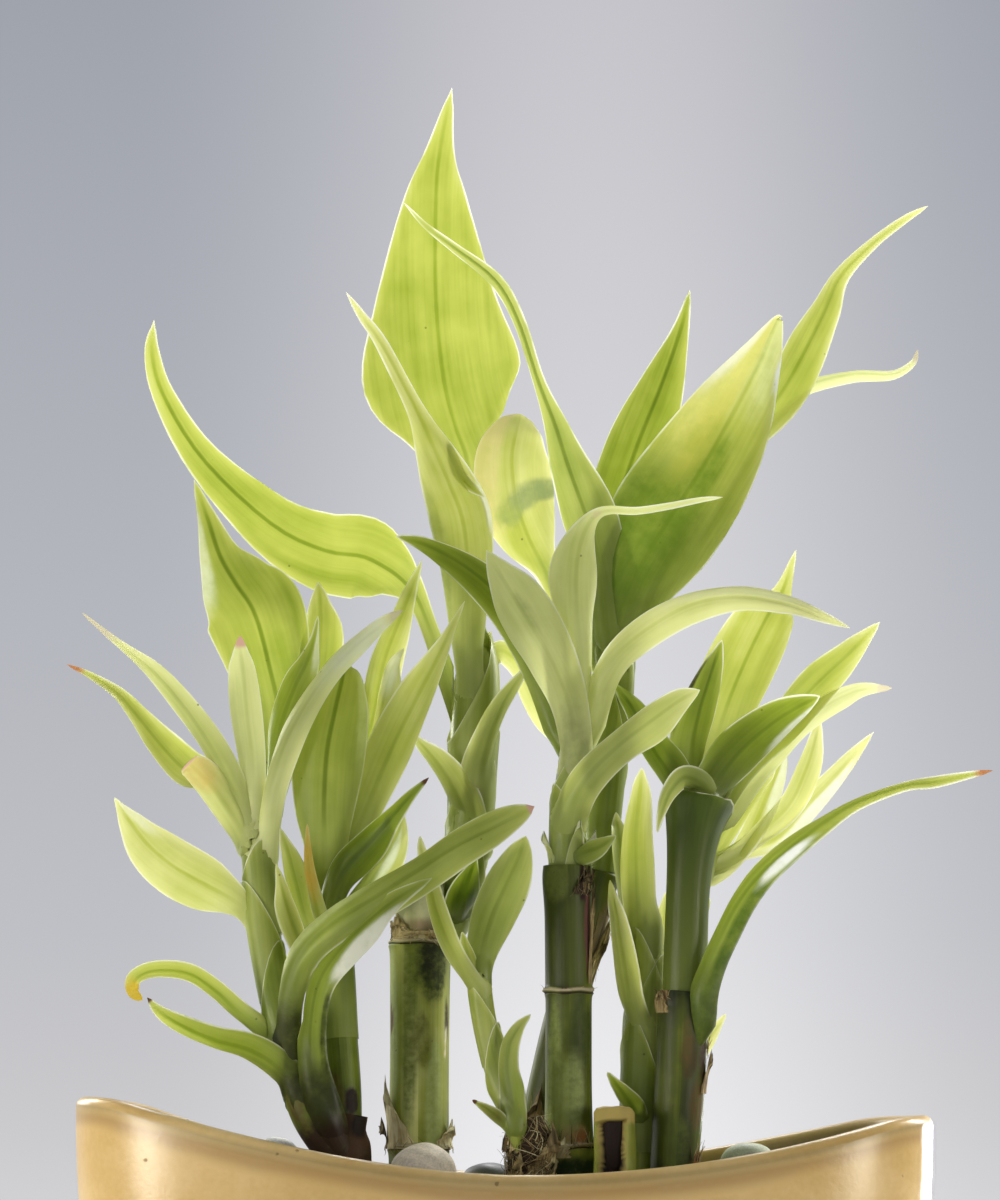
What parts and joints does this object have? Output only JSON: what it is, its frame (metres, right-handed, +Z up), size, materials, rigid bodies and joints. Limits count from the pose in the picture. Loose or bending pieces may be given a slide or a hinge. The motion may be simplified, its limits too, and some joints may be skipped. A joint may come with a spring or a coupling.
{
  "type": "lucky bamboo in an oblong planter",
  "caption": "Lucky bamboo: cut canes with broad arching leaves on leafy shoots, standing in river gravel in an oblong ceramic pot with upswept ends.",
  "frame": {"origin": "centre of the pot's flat underside, on the surface that the pot stands on", "axes": "+Z up, X along the pot's long side with the higher rim end towards -X, -Y towards the viewer's side of the pot"},
  "size_m": [0.2335, 0.096, 0.3602],
  "materials": {
    "ceramic": "satin",
    "gravel": "matte",
    "stone_grey": "satin",
    "stone_pale": "satin",
    "stone_brown": "satin",
    "cane": "satin",
    "woody_base": "matte",
    "leaf": "satin"
  },
  "bodies": {
    "root": {"pot": "ceramic", "gravel_bed": "gravel", "stone_grey_arched": "stone_grey", "stone_white": "stone_pale", "stone_pale_green": "stone_pale", "stone_brown": "stone_brown", "stone_cream": "stone_pale", "stone_dark_grey": "stone_grey", "stone_rose": "stone_brown", "stone_sandy": "stone_brown", "cane_b": "cane", "cane_c": "cane", "cane_d": "cane", "cane_e": "cane", "cane_left": "woody_base", "cut_stump": "woody_base", "root_crown": "woody_base", "shoot_left": "leaf", "shoot_b": "leaf", "shoot_c": "leaf", "shoot_d": "leaf", "sapling": "leaf", "shoot_e": "leaf", "shoot_f": "leaf", "shoot_g": "leaf"}
  },
  "joints": []
}
